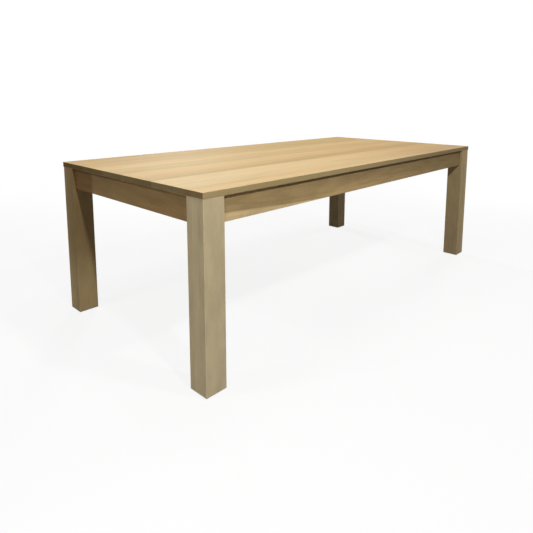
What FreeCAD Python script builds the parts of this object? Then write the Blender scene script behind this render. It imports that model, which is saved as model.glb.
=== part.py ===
# Parsons dining table: an edge-glued top on a knock-down frame of four layered legs and four aprons.
# Millimetres. X runs along the table, Y across it, Z up from the floor, with the origin on the floor
# under the middle of the top. Left is -X and front is -Y.
import FreeCAD, Part
import math
import os

from FreeCAD import Placement, Rotation, Vector

# Top: boards glued edge to edge, counted from the front edge to the back edge
board_1_width = 106.0
board_2_width = 213.0
board_3_width = 229.0
board_4_width = 157.0
board_5_width = 203.0
board_6_width = 210.0
top_length = 2286.0
top_thickness = 24.0
top_overhang = 1.5
top_edge_radius = 1.5
top_under_chamfer = 1.5
table_height = 762.0

# Legs: square posts glued up from layers, with a flat on the inner corner for the hanger bolts
leg_side = 95.0
leg_edge_radius = 1.5
leg_foot_chamfer = 2.0
leg_flat_depth = 20.0

# Floor glides: a pad under each leg, held by one nail
glide_diameter = 32.0
glide_thickness = 4.0
glide_edge_chamfer = 1.0
nail_diameter = 2.6
nail_head_diameter = 7.0
nail_head_height = 1.2
nail_recess_depth = 2.2
nail_bite = 16.0

# Aprons: boards on edge between the legs
apron_height = 100.0
apron_thickness = 22.0
apron_setback = 12.5
apron_edge_radius = 1.2

# Corner braces: blocks across the corners, with a tongue at each end housed in an apron kerf
brace_thickness = 30.0
brace_height = 70.0
brace_drop = 15.0
brace_gap = 8.0
tongue_width = 6.0
tongue_length = 7.0
kerf_side_clearance = 0.2
kerf_end_clearance = 0.5

# Hanger bolts: two in each leg, drawn up by a washer and a nut on the brace
bolt_diameter = 8.0
bolt_bite = 50.0
bolt_spacing = 36.0
bolt_tail = 5.0
washer_diameter = 20.0
washer_thickness = 1.6
nut_across_flats = 13.0
nut_height = 6.5

# Brace screws: two through each end of a brace
brace_screw_diameter = 4.5
brace_screw_head_diameter = 9.0
brace_screw_head_height = 3.2
brace_screw_recess_depth = 15.0
brace_screw_bite = 14.0
brace_screw_spacing = 40.0

# Cross rails: two rails under the top, housed in the long aprons
rail_thickness = 28.0
rail_height = 70.0
rail_offset = 350.0
rail_housing_depth = 9.0
rail_edge_chamfer = 1.2

# Rail screws: up through slots that let the top move across its width
rail_screw_diameter = 5.0
rail_screw_head_diameter = 11.0
rail_screw_head_height = 3.5
rail_screw_recess_depth = 42.0
rail_screw_bite = 15.0
rail_slot_length = 13.0

# Top clips: bent strips screwed to the top, with a tongue in the groove of an apron
clip_width = 20.0
clip_thickness = 1.6
clip_drop = 11.0
clip_tongue_length = 8.0
clip_standoff = 4.0
clip_foot_length = 22.0
clip_bend_setback = 1.0
clip_screw_edge_distance = 9.0
clip_screw_diameter = 4.0
clip_screw_head_diameter = 8.0
clip_screw_head_height = 2.6
clip_screw_bite = 15.0
clips_per_bay = 2
groove_height = 3.2
groove_depth = 10.0

# Sides of the small round pieces and of the holes that take them
screw_sides = 8
bolt_sides = 8
nut_sides = 6
glide_sides = 16

# Clearances: round each shank, each head and each pilot end
shank_clearance = 0.1
head_clearance = 0.5
pilot_end_clearance = 0.5

# The glued layers of a leg, from its outer face to its inner face
LAYER_NAMES = ("outer", "core", "inner")

# Sizes and places that follow from the sizes above
board_widths = (
    board_1_width,
    board_2_width,
    board_3_width,
    board_4_width,
    board_5_width,
    board_6_width,
)
top_width = sum(board_widths)
half_length = top_length / 2
half_width = top_width / 2
under_top = table_height - top_thickness
leg_layer = leg_side / len(LAYER_NAMES)
leg_outer_x = half_length - top_overhang
leg_outer_y = half_width - top_overhang
apron_bottom = under_top - apron_height
apron_inset = apron_setback + apron_thickness
inner_x = leg_outer_x - apron_inset
inner_y = leg_outer_y - apron_inset
long_apron_length = 2 * (leg_outer_x - leg_side)
end_apron_length = 2 * (leg_outer_y - leg_side)

# Corner layout, in distances u along the table and v across it from the outer corner of a leg:
# the leg's flat and both faces of a brace are lines of constant u + v
diagonal = math.sqrt(2.0)
flat_sum = 2 * leg_side - leg_flat_depth
brace_outer_sum = flat_sum + brace_gap * diagonal
brace_inner_sum = brace_outer_sum + brace_thickness * diagonal
brace_near_end = brace_outer_sum - apron_inset
brace_far_end = brace_inner_sum - apron_inset
tongue_middle = (brace_near_end + brace_far_end) / 2
brace_top = under_top - brace_drop
brace_middle = brace_top - brace_height / 2
brace_screw_u = (brace_near_end + tongue_middle - tongue_width / 2) / 2
brace_screw_seat = brace_inner_sum - brace_screw_u - brace_screw_recess_depth

UP = Vector(0, 0, 1)
CORNERS = {
    "front_left": (-1, -1),
    "front_right": (1, -1),
    "back_left": (-1, 1),
    "back_right": (1, 1),
}
LAYERED_ACROSS_LENGTH = ("front_right", "back_right")


def block(low, high):
    """Return the box between two opposite corners."""
    size = Vector(*high) - Vector(*low)
    return Part.makeBox(size.x, size.y, size.z, Vector(*low))


def rod(sides, radius, start, direction, length):
    """Return a bar of many sides from start along direction, inside the round bar of that radius."""
    corners = [
        Vector(math.cos(2 * math.pi * side / sides), math.sin(2 * math.pi * side / sides), 0) * radius
        for side in range(sides)
    ]
    bar = Part.Face(Part.makePolygon(corners + corners[:1])).extrude(UP * length)
    bar.Placement = Placement(start, Rotation(UP, direction))
    return bar


def headed_shank(seat, direction, grip, bite, radius, head_radius, head_height):
    """Return a screw whose head bears on seat and whose shank points along direction."""
    shank = rod(screw_sides, radius, seat, direction, grip + bite)
    head = rod(screw_sides, head_radius, seat - direction * head_height, direction, head_height)
    return shank.fuse(head).removeSplitter()


def slide(shape, offset):
    """Return a copy of a shape moved by offset."""
    moved = shape.copy()
    moved.translate(offset)
    return moved


def turn(shape, angle):
    """Return a copy of a shape turned about the upright axis through the origin."""
    turned = shape.copy()
    turned.rotate(Vector(0, 0, 0), UP, angle)
    return turned


def to_corner(shape, corner):
    """Return a front left shape carried to another corner by mirroring it."""
    side_x, side_y = CORNERS[corner]
    if side_x > 0:
        shape = shape.mirror(Vector(0, 0, 0), Vector(1, 0, 0))
    if side_y > 0:
        shape = shape.mirror(Vector(0, 0, 0), Vector(0, 1, 0))
    return shape


def from_corner(u, v, z):
    """Return the point at u and v from the outer corner of the front left leg."""
    return Vector(u - leg_outer_x, v - leg_outer_y, z)


def edges_where(shape, test):
    """Return the edges of a shape whose two end points both pass a test."""
    return [edge for edge in shape.Edges if all(test(vertex.Point) for vertex in edge.Vertexes)]


def edges_along(shape, direction):
    """Return the straight edges of a shape that run along a direction."""
    along = []
    for edge in shape.Edges:
        if abs(edge.tangentAt(edge.FirstParameter).dot(direction)) > 0.5:
            along.append(edge)
    return along


def low_edges_along(shape, direction, height):
    """Return the straight edges of a shape that run along a direction below a height."""
    return [edge for edge in edges_along(shape, direction) if edge.CenterOfMass.z < height]


def save(name, shapes):
    """Write one named piece, or one group of like pieces, to its file."""
    shape = shapes[0] if len(shapes) == 1 else Part.makeCompound(shapes)
    shape.exportStep(os.path.join("parts", name + ".step"))


def board_bounds():
    """Return the front and back edge of each board of the top."""
    bounds = []
    front = -half_width
    for width in board_widths:
        bounds.append((front, front + width))
        front += width
    return bounds


def clip_places():
    """Return the place of each top clip as a turn angle, the apron's inner face and the place along it."""
    places = []
    bay_ends = (brace_far_end - leg_outer_x, -rail_offset, rail_offset, leg_outer_x - brace_far_end)
    for bay_start, bay_end in zip(bay_ends, bay_ends[1:]):
        pitch = (bay_end - bay_start) / clips_per_bay
        for index in range(clips_per_bay):
            along = bay_start + pitch * (index + 0.5)
            places.append((0, inner_y, along))
            places.append((180, inner_y, along))
    reach = leg_outer_y - brace_far_end - clip_width
    for front, back in board_bounds():
        middle = (front + back) / 2
        if abs(middle) < reach:
            places.append((-90, inner_x, -middle))
            places.append((90, inner_x, middle))
    return places


def clip_frame(shape, place):
    """Return a shape carried from the plain clip place, at the origin, to its own place."""
    angle, face, along = place
    return turn(slide(shape, Vector(along, -face, under_top)), angle)


def clip_screw_axis():
    """Return the point on the underside of the top where a clip's screw enters, in the plain place."""
    return Vector(0, clip_standoff + clip_foot_length - clip_screw_edge_distance, 0)


def rail_screw_places():
    """Return the point on the underside of the top over each rail screw."""
    middles = [(front + back) / 2 for front, back in board_bounds()[1:-1]]
    return [Vector(x, y, under_top) for x in (-rail_offset, rail_offset) for y in middles]


def make_top():
    """Return the boards of the top, cut from one eased slab that has its screw holes."""
    slab = block((-half_length, -half_width, under_top), (half_length, half_width, table_height))
    middle_height = (under_top + table_height) / 2
    slab = slab.makeFillet(top_edge_radius, edges_where(slab, lambda point: point.z > middle_height))
    slab = slab.makeChamfer(top_under_chamfer, edges_where(slab, lambda point: point.z < middle_height))
    pilots = []
    pilot = rod(screw_sides, clip_screw_diameter / 2 + shank_clearance, clip_screw_axis(), UP,
                clip_screw_bite + pilot_end_clearance)
    for place in clip_places():
        pilots.append(clip_frame(pilot, place))
    for point in rail_screw_places():
        pilots.append(rod(screw_sides, rail_screw_diameter / 2 + shank_clearance, point, UP,
                          rail_screw_bite + pilot_end_clearance))
    slab = slab.cut(pilots)
    boards = []
    for front, back in board_bounds():
        boards.append(slab.common(block((-half_length, front, under_top), (half_length, back, table_height))))
    return boards


def bolt_axes():
    """Return the middle of the leg's flat for each hanger bolt, and the way out of the leg."""
    outwards = Vector(1, 1, 0) / diagonal
    heights = (brace_middle - bolt_spacing / 2, brace_middle + bolt_spacing / 2)
    return [from_corner(flat_sum / 2, flat_sum / 2, z) for z in heights], outwards


def make_leg():
    """Return the front left leg in one piece, with its flat, bolt holes and nail hole."""
    leg = block(from_corner(0, 0, glide_thickness), from_corner(leg_side, leg_side, under_top))
    foot_edges = edges_where(leg, lambda point: point.z < glide_thickness + leg_foot_chamfer)
    leg = leg.makeChamfer(leg_foot_chamfer, foot_edges)
    upright_edges = [edge for edge in edges_along(leg, UP) if edge.Length > under_top / 2]
    leg = leg.makeFillet(leg_edge_radius, upright_edges)
    corner = [
        from_corner(leg_side, leg_side, apron_bottom),
        from_corner(leg_side - leg_flat_depth, leg_side, apron_bottom),
        from_corner(leg_side, leg_side - leg_flat_depth, apron_bottom),
    ]
    wedge = Part.Face(Part.makePolygon(corner + corner[:1])).extrude(UP * apron_height)
    middles, outwards = bolt_axes()
    holes = [wedge]
    for middle in middles:
        holes.append(rod(bolt_sides, bolt_diameter / 2 + shank_clearance, middle, -outwards,
                         bolt_bite + pilot_end_clearance))
    foot_middle = from_corner(leg_side / 2, leg_side / 2, glide_thickness)
    holes.append(rod(screw_sides, nail_diameter / 2 + shank_clearance, foot_middle, UP,
                     nail_bite + pilot_end_clearance))
    return leg.cut(holes)


def make_leg_layers(corner):
    """Return the glued layers of one leg, from its outer face to its inner face."""
    leg = to_corner(make_leg(), corner)
    layers = []
    for index in range(len(LAYER_NAMES)):
        near = index * leg_layer
        far = near + leg_layer
        if corner in LAYERED_ACROSS_LENGTH:
            slab = block(from_corner(near, 0, 0), from_corner(far, leg_side, under_top))
        else:
            slab = block(from_corner(0, near, 0), from_corner(leg_side, far, under_top))
        layers.append(leg.common(to_corner(slab, corner)))
    return layers


def make_glide():
    """Return the front left floor glide, a round pad with a recess for its nail."""
    middle = from_corner(leg_side / 2, leg_side / 2, 0)
    pad = rod(glide_sides, glide_diameter / 2, middle, UP, glide_thickness)
    pad = pad.makeChamfer(glide_edge_chamfer, edges_where(pad, lambda point: point.z < glide_edge_chamfer))
    recess = rod(screw_sides, nail_head_diameter / 2 + head_clearance, middle, UP, nail_recess_depth)
    bore = rod(screw_sides, nail_diameter / 2 + shank_clearance, middle, UP, glide_thickness)
    return pad.cut([recess, bore])


def make_nail():
    """Return the nail of the front left glide."""
    seat = from_corner(leg_side / 2, leg_side / 2, nail_recess_depth)
    grip = glide_thickness - nail_recess_depth
    return headed_shank(seat, UP, grip, nail_bite, nail_diameter / 2,
                        nail_head_diameter / 2, nail_head_height)


def groove_and_kerfs(length, face):
    """Return the cuts of the front apron: the clip groove and the two kerfs for the brace tongues.

    The cuts are made for an apron of the given length whose inner face is at y = -face.
    """
    groove_top = under_top - clip_drop
    groove_bottom = groove_top - groove_height
    cuts = [block((-length / 2, -face - groove_depth, groove_bottom), (length / 2, -face, groove_top))]
    kerf_half = tongue_width / 2 + kerf_side_clearance
    kerf_depth = tongue_length + kerf_end_clearance
    from_middle = length / 2 + leg_side - tongue_middle
    for middle in (-from_middle, from_middle):
        cuts.append(block((middle - kerf_half, -face - kerf_depth, apron_bottom),
                          (middle + kerf_half, -face, under_top)))
    return cuts


def brace_pilots(length, face):
    """Return the pilot holes of the brace screws in an apron laid out as the front one."""
    pilots = []
    from_middle = length / 2 + leg_side - brace_screw_u
    for x in (-from_middle, from_middle):
        for z in (brace_middle - brace_screw_spacing / 2, brace_middle + brace_screw_spacing / 2):
            pilots.append(rod(screw_sides, brace_screw_diameter / 2 + shank_clearance, Vector(x, -face, z),
                              Vector(0, -1, 0), brace_screw_bite + pilot_end_clearance))
    return pilots


def make_apron(length, face):
    """Return an apron laid out as the front one, with its inner face at y = -face."""
    apron = block((-length / 2, -face - apron_thickness, apron_bottom), (length / 2, -face, under_top))
    lower_edges = low_edges_along(apron, Vector(1, 0, 0), under_top - apron_height / 2)
    apron = apron.makeFillet(apron_edge_radius, lower_edges)
    return apron.cut(groove_and_kerfs(length, face) + brace_pilots(length, face))


def make_long_apron():
    """Return the front apron, with the housings of the cross rails."""
    floor_y = -inner_y - rail_housing_depth
    housings = []
    for x in (-rail_offset, rail_offset):
        housings.append(block((x - rail_thickness / 2, floor_y, under_top - rail_height),
                              (x + rail_thickness / 2, -inner_y, under_top)))
    return make_apron(long_apron_length, inner_y).cut(housings)


def brace_outline():
    """Return the outline of the front left brace at its lower face."""
    low = tongue_middle - tongue_width / 2
    high = tongue_middle + tongue_width / 2
    tip = apron_inset - tongue_length
    half = [
        (brace_near_end, apron_inset),
        (low, apron_inset),
        (low, tip),
        (high, tip),
        (high, apron_inset),
        (brace_far_end, apron_inset),
    ]
    around = half + [(v, u) for u, v in reversed(half)]
    return [from_corner(u, v, brace_top - brace_height) for u, v in around]


def brace_screw_seats():
    """Return where each screw of the front left brace seats and the way that it points."""
    seats = []
    for z in (brace_middle - brace_screw_spacing / 2, brace_middle + brace_screw_spacing / 2):
        seats.append((from_corner(brace_screw_u, brace_screw_seat, z), Vector(0, -1, 0)))
        seats.append((from_corner(brace_screw_seat, brace_screw_u, z), Vector(-1, 0, 0)))
    return seats


def make_brace():
    """Return the front left corner brace."""
    outline = brace_outline()
    brace = Part.Face(Part.makePolygon(outline + outline[:1])).extrude(UP * brace_height)
    middles, outwards = bolt_axes()
    holes = []
    for middle in middles:
        holes.append(rod(bolt_sides, bolt_diameter / 2 + shank_clearance, middle, outwards,
                         2 * brace_thickness + brace_gap))
    for seat, inwards in brace_screw_seats():
        holes.append(rod(screw_sides, brace_screw_diameter / 2 + shank_clearance, seat, inwards,
                         brace_screw_seat))
        holes.append(rod(screw_sides, brace_screw_head_diameter / 2 + head_clearance, seat, -inwards,
                         2 * brace_screw_recess_depth))
    return brace.cut(holes)


def make_brace_screws():
    """Return the screws of the front left brace."""
    grip = brace_screw_seat - apron_inset
    return [
        headed_shank(seat, inwards, grip, brace_screw_bite, brace_screw_diameter / 2,
                     brace_screw_head_diameter / 2, brace_screw_head_height)
        for seat, inwards in brace_screw_seats()
    ]


def make_hanger_bolts():
    """Return the hanger bolts of the front left leg."""
    middles, outwards = bolt_axes()
    outside = brace_gap + brace_thickness + washer_thickness + nut_height + bolt_tail
    bolts = []
    for middle in middles:
        point = middle - outwards * bolt_bite
        bolts.append(rod(bolt_sides, bolt_diameter / 2, point, outwards, bolt_bite + outside))
    return bolts


def make_hanger_washers():
    """Return the washers of the front left leg's hanger bolts, laid on the brace."""
    middles, outwards = bolt_axes()
    washers = []
    for middle in middles:
        seat = middle + outwards * (brace_gap + brace_thickness)
        disc = rod(bolt_sides, washer_diameter / 2, seat, outwards, washer_thickness)
        hole = rod(bolt_sides, bolt_diameter / 2 + shank_clearance, seat, outwards, washer_thickness)
        washers.append(disc.cut(hole))
    return washers


def make_hanger_nuts():
    """Return the hexagon nuts of the front left leg's hanger bolts, laid on their washers."""
    middles, outwards = bolt_axes()
    across_corners = nut_across_flats / math.cos(math.pi / nut_sides)
    nuts = []
    for middle in middles:
        seat = middle + outwards * (brace_gap + brace_thickness + washer_thickness)
        blank = rod(nut_sides, across_corners / 2, seat, outwards, nut_height)
        hole = rod(bolt_sides, bolt_diameter / 2 + shank_clearance, seat, outwards, nut_height)
        nuts.append(blank.cut(hole))
    return nuts


def make_rail():
    """Return the left cross rail, housed in the long aprons, with its screw recesses and slots."""
    reach = inner_y + rail_housing_depth
    near_x = -rail_offset - rail_thickness / 2
    far_x = -rail_offset + rail_thickness / 2
    rail = block((near_x, -reach, under_top - rail_height), (far_x, reach, under_top))
    lower_edges = low_edges_along(rail, Vector(0, 1, 0), under_top - rail_height / 2)
    rail = rail.makeChamfer(rail_edge_chamfer, lower_edges)
    slot_radius = rail_screw_diameter / 2 + shank_clearance
    slot_half = rail_slot_length / 2 - slot_radius
    cuts = []
    for point in rail_screw_places()[:len(board_widths) - 2]:
        bottom = point - UP * rail_height
        cuts.append(rod(screw_sides, rail_screw_head_diameter / 2 + head_clearance, bottom, UP,
                        rail_screw_recess_depth))
        slot_corner = Vector(slot_radius, slot_half, 0)
        cuts.append(block(bottom - slot_corner, point + slot_corner))
        for shift in (-slot_half, slot_half):
            cuts.append(rod(screw_sides, slot_radius, bottom + Vector(0, shift, 0), UP, rail_height))
    return rail.cut(cuts)


def make_rail_screws():
    """Return the screws of both cross rails, seated at the bottom of their recesses."""
    grip = rail_height - rail_screw_recess_depth
    return [
        headed_shank(point - UP * grip, UP, grip, rail_screw_bite, rail_screw_diameter / 2,
                     rail_screw_head_diameter / 2, rail_screw_head_height)
        for point in rail_screw_places()
    ]


def make_clip():
    """Return one top clip in the plain place: the apron's face on y = 0 and the top's underside on z = 0."""
    riser = clip_standoff + clip_thickness
    toe = clip_standoff + clip_foot_length
    tongue_bottom = -clip_drop - clip_thickness
    outline = [
        Vector(0, -clip_tongue_length, tongue_bottom),
        Vector(0, riser, tongue_bottom),
        Vector(0, riser, -clip_thickness),
        Vector(0, toe, -clip_thickness),
        Vector(0, toe, 0),
        Vector(0, clip_standoff, 0),
        Vector(0, clip_standoff, -clip_drop),
        Vector(0, -clip_tongue_length, -clip_drop),
    ]
    strip = Part.Face(Part.makePolygon(outline + outline[:1])).extrude(Vector(clip_width, 0, 0))
    strip.translate(Vector(-clip_width / 2, 0, 0))
    strip = ease_bends(strip, (outline[2], outline[6]), clip_bend_setback)
    strip = ease_bends(strip, (outline[1], outline[5]), clip_bend_setback + clip_thickness * (2 - diagonal))
    hole_start = clip_screw_axis() - UP * clip_thickness
    hole = rod(screw_sides, clip_screw_diameter / 2 + shank_clearance, hole_start, UP, clip_thickness)
    return strip.cut(hole)


def ease_bends(strip, points, setback):
    """Return a strip with the edges across it at the given outline points cut back."""
    near = clip_thickness / 100
    bends = []
    for point in points:
        bends += edges_where(strip, lambda end: math.hypot(end.y - point.y, end.z - point.z) < near)
    return strip.makeChamfer(setback, bends)


def make_clip_screw():
    """Return the screw of one top clip in the plain place."""
    seat = clip_screw_axis() - UP * clip_thickness
    return headed_shank(seat, UP, clip_thickness, clip_screw_bite, clip_screw_diameter / 2,
                        clip_screw_head_diameter / 2, clip_screw_head_height)


def at_corners(shapes):
    """Return front left shapes repeated at the four corners."""
    return [to_corner(shape, corner) for corner in CORNERS for shape in shapes]


def main():
    """Make every piece of the table and write it."""
    os.makedirs("parts", exist_ok=True)
    for number, board in enumerate(make_top(), start=1):
        save(f"top_board_{number}", [board])
    brace = make_brace()
    for corner in CORNERS:
        for name, layer in zip(LAYER_NAMES, make_leg_layers(corner)):
            save(f"{corner}_leg_{name}_layer", [layer])
        save(f"{corner}_corner_brace", [to_corner(brace, corner)])
    long_apron = make_long_apron()
    save("front_apron", [long_apron])
    save("back_apron", [turn(long_apron, 180)])
    end_apron = make_apron(end_apron_length, inner_x)
    save("left_apron", [turn(end_apron, -90)])
    save("right_apron", [turn(end_apron, 90)])
    rail = make_rail()
    save("left_cross_rail", [rail])
    save("right_cross_rail", [slide(rail, Vector(2 * rail_offset, 0, 0))])
    save("rail_screws", make_rail_screws())
    save("hanger_bolts", at_corners(make_hanger_bolts()))
    save("hanger_washers", at_corners(make_hanger_washers()))
    save("hanger_nuts", at_corners(make_hanger_nuts()))
    save("brace_screws", at_corners(make_brace_screws()))
    save("floor_glides", at_corners([make_glide()]))
    save("glide_nails", at_corners([make_nail()]))
    places = clip_places()
    save("top_clips", [clip_frame(make_clip(), place) for place in places])
    save("clip_screws", [clip_frame(make_clip_screw(), place) for place in places])


main()
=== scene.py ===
"""Looks of the parsons dining table: solid wood boards, legs and aprons, plated fasteners, nylon glides."""

import logging
import math
from dataclasses import dataclass, replace
from enum import Enum
from typing import Callable, Sequence

import bmesh
import bpy
from mathutils import Matrix, Vector

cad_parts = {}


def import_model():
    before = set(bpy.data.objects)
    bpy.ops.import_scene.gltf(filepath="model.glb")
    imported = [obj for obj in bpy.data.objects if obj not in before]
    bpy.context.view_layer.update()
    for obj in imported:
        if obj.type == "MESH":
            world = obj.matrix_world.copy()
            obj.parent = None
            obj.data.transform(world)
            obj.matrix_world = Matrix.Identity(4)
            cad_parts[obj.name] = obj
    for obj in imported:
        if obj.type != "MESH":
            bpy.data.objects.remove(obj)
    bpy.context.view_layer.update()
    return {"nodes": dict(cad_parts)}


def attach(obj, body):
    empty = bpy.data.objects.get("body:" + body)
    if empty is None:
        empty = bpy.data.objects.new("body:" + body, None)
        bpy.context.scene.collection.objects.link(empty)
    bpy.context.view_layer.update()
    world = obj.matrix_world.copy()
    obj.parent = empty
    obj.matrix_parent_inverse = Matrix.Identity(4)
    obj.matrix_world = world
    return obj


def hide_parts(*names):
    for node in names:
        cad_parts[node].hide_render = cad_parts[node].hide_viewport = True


LOG = logging.getLogger("dining_table")
BODY = "root"
UP = Vector((0.0, 0.0, 1.0))
Pair = tuple[float, float]
Triple = tuple[float, float, float]
Colour = Triple
Nodes = dict[str, bpy.types.Object]
Socket = bpy.types.NodeSocket
WHITE: Colour = (1.0, 1.0, 1.0)
NOISE_MIDDLE = 0.5
NOISE_SPREAD: Pair = (0.3, 0.7)


class Grain(Enum):
    """The way that a board's fibres run, with the turn that lays them along the texture's X axis."""

    LENGTH = (0.0, 0.0, 0.0)
    WIDTH = (0.0, 0.0, -90.0)
    HEIGHT = (0.0, 90.0, 0.0)
    RISING_DIAGONAL = (0.0, 0.0, -45.0)
    FALLING_DIAGONAL = (0.0, 0.0, 45.0)

    @property
    def turn(self) -> Triple:
        """Return the turn in radians, as a Mapping node takes it."""
        return tuple(math.radians(angle) for angle in self.value)


@dataclass(frozen=True)
class Waves:
    """One noise of a finish: its waves per metre along each axis, its detail and the values that count."""

    stretch: Triple
    detail: float
    spread: Pair = NOISE_SPREAD


class NodeTree:
    """A short way to add and link the nodes of one material or world."""

    def __init__(self, block: bpy.types.Material | bpy.types.World) -> None:
        """Start with no nodes.

        Args:
            block: The material or world that the nodes belong to.
        """
        block.use_nodes = True
        self.block = block
        self.nodes = block.node_tree.nodes
        self.links = block.node_tree.links
        self.nodes.clear()

    def add(self, kind: str, inputs: dict | None = None, **settings: object) -> bpy.types.Node:
        """Add one node.

        Args:
            kind: The node's type, without the leading ShaderNode.
            inputs: Values or sockets for the node's inputs, by name or number.
            settings: Attributes to set on the node first.

        Returns:
            The new node.
        """
        node = self.nodes.new("ShaderNode" + kind)
        for attribute, value in settings.items():
            setattr(node, attribute, value)
        for key, value in (inputs or {}).items():
            if isinstance(value, Socket):
                self.links.new(value, node.inputs[key])
            else:
                node.inputs[key].default_value = value
        return node

    def math(self, operation: str, first: object, second: object = 0.0) -> Socket:
        """Return the result of one Math node on two values or sockets."""
        return self.add("Math", {0: first, 1: second}, operation=operation).outputs[0]

    def vector(self, operation: str, first: object, second: object) -> Socket:
        """Return the vector result of one Vector Math node."""
        return self.add("VectorMath", {0: first, 1: second}, operation=operation).outputs[0]

    def length(self, vector: Socket) -> Socket:
        """Return the length of a vector."""
        return self.add("VectorMath", {0: vector}, operation="LENGTH").outputs["Value"]

    def parts(self, vector: Socket) -> tuple[Socket, Socket, Socket]:
        """Return the X, Y and Z of a vector."""
        return tuple(self.add("SeparateXYZ", {0: vector}).outputs)

    def remap(self, value: object, low: float, high: float, to_low: float, to_high: float) -> Socket:
        """Return a value eased from one range to another.

        Args:
            value: The socket to remap.
            low: Start of the range that is read.
            high: End of the range that is read.
            to_low: Result at low.
            to_high: Result at high.

        Returns:
            The remapped socket.
        """
        inputs = {0: value, 1: low, 2: high, 3: to_low, 4: to_high}
        return self.add("MapRange", inputs, interpolation_type="SMOOTHSTEP").outputs[0]

    def mix(self, amount: object, first: object, second: object) -> Socket:
        """Return two colours mixed by an amount.

        Args:
            amount: Share of the second colour, a number or a socket.
            first: The first colour or socket.
            second: The second colour or socket.

        Returns:
            The mixed colour's socket.
        """
        node = self.add("Mix", data_type="RGBA")
        for key, value in (("Factor_Float", amount), ("A_Color", first), ("B_Color", second)):
            socket = next(item for item in node.inputs if item.identifier == key)
            if isinstance(value, Socket):
                self.links.new(value, socket)
            else:
                socket.default_value = value if isinstance(value, float) else (*value, 1.0)
        return next(item for item in node.outputs if item.identifier == "Result_Color")

    def noise(self, coordinates: Socket, waves: Waves, output: str = "Fac") -> Socket:
        """Read a noise with its own number of waves per metre along each axis.

        Args:
            coordinates: Where the noise is read, in metres.
            waves: The noise's waves and detail.
            output: The output that is read, its grey value or its colour.

        Returns:
            The output's socket.
        """
        place = self.vector("MULTIPLY", coordinates, waves.stretch)
        return self.add("TexNoise", {"Vector": place, "Scale": 1.0, "Detail": waves.detail}).outputs[output]

    def grey(self, value: Socket) -> Socket:
        """Return a grey colour of one value."""
        return self.add("CombineXYZ", {0: value, 1: value, 2: value}).outputs[0]

    def bump(self, strength: float, depth: float, height: Socket) -> Socket:
        """Return the normal of a fine relief."""
        return self.add("Bump", {"Strength": strength, "Distance": depth, "Height": height}).outputs[0]

    def seen(self) -> Socket:
        """Tell the rays that show a surface from those that only carry its light.

        Returns:
            1 for rays that come from the camera, a mirror or glass.
        """
        path = self.add("LightPath").outputs
        straight = self.math("MAXIMUM", path["Is Camera Ray"], path["Is Glossy Ray"])
        return self.math("MAXIMUM", straight, path["Is Transmission Ray"])

    def finish(self, inputs: dict) -> bpy.types.Material:
        """Close a material with one Principled shader.

        Args:
            inputs: The shader's values and sockets, by name.

        Returns:
            The finished material.
        """
        shader = self.add("BsdfPrincipled", inputs)
        self.add("OutputMaterial", {"Surface": shader.outputs[0]})
        return self.block


def new_tree(name: str) -> NodeTree:
    """Return the empty node tree of a new material."""
    return NodeTree(bpy.data.materials.new(name))


def blend(first: Colour, second: Colour) -> Colour:
    """Return the product of two tints."""
    return tuple(a * b for a, b in zip(first, second))


@dataclass(frozen=True)
class Cut:
    """How one board was sawn from its log, in metres and degrees."""

    along: float
    pith: Pair
    tilt: Pair = (0.6, 0.4)

    def shifted(self, length: float) -> "Cut":
        """Return the same cut further along the log."""
        return replace(self, along=self.along + length)


@dataclass(frozen=True)
class PaleZone:
    """A paler zone below a height of a board, with the lengths between which it comes and goes. Metres."""

    height: float
    fall: float
    softness: float
    comes: Pair
    goes: Pair
    tone: Colour


@dataclass(frozen=True)
class Board:
    """One board's look: how it was sawn, its tones along and across the grain and its paler zones, which on
    some boards hold painted light and shade.
    """

    name: str
    grain: Grain
    cut: Cut
    tint: Colour = WHITE
    far_tint: Colour = WHITE
    span: Pair = (-1.143, 1.143)
    sides: Pair = (-1.0, 1.0)
    across: Pair = (1.0, 1.0)
    end_shade: Colour = WHITE
    pale_zones: Sequence[PaleZone] = ()


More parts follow.
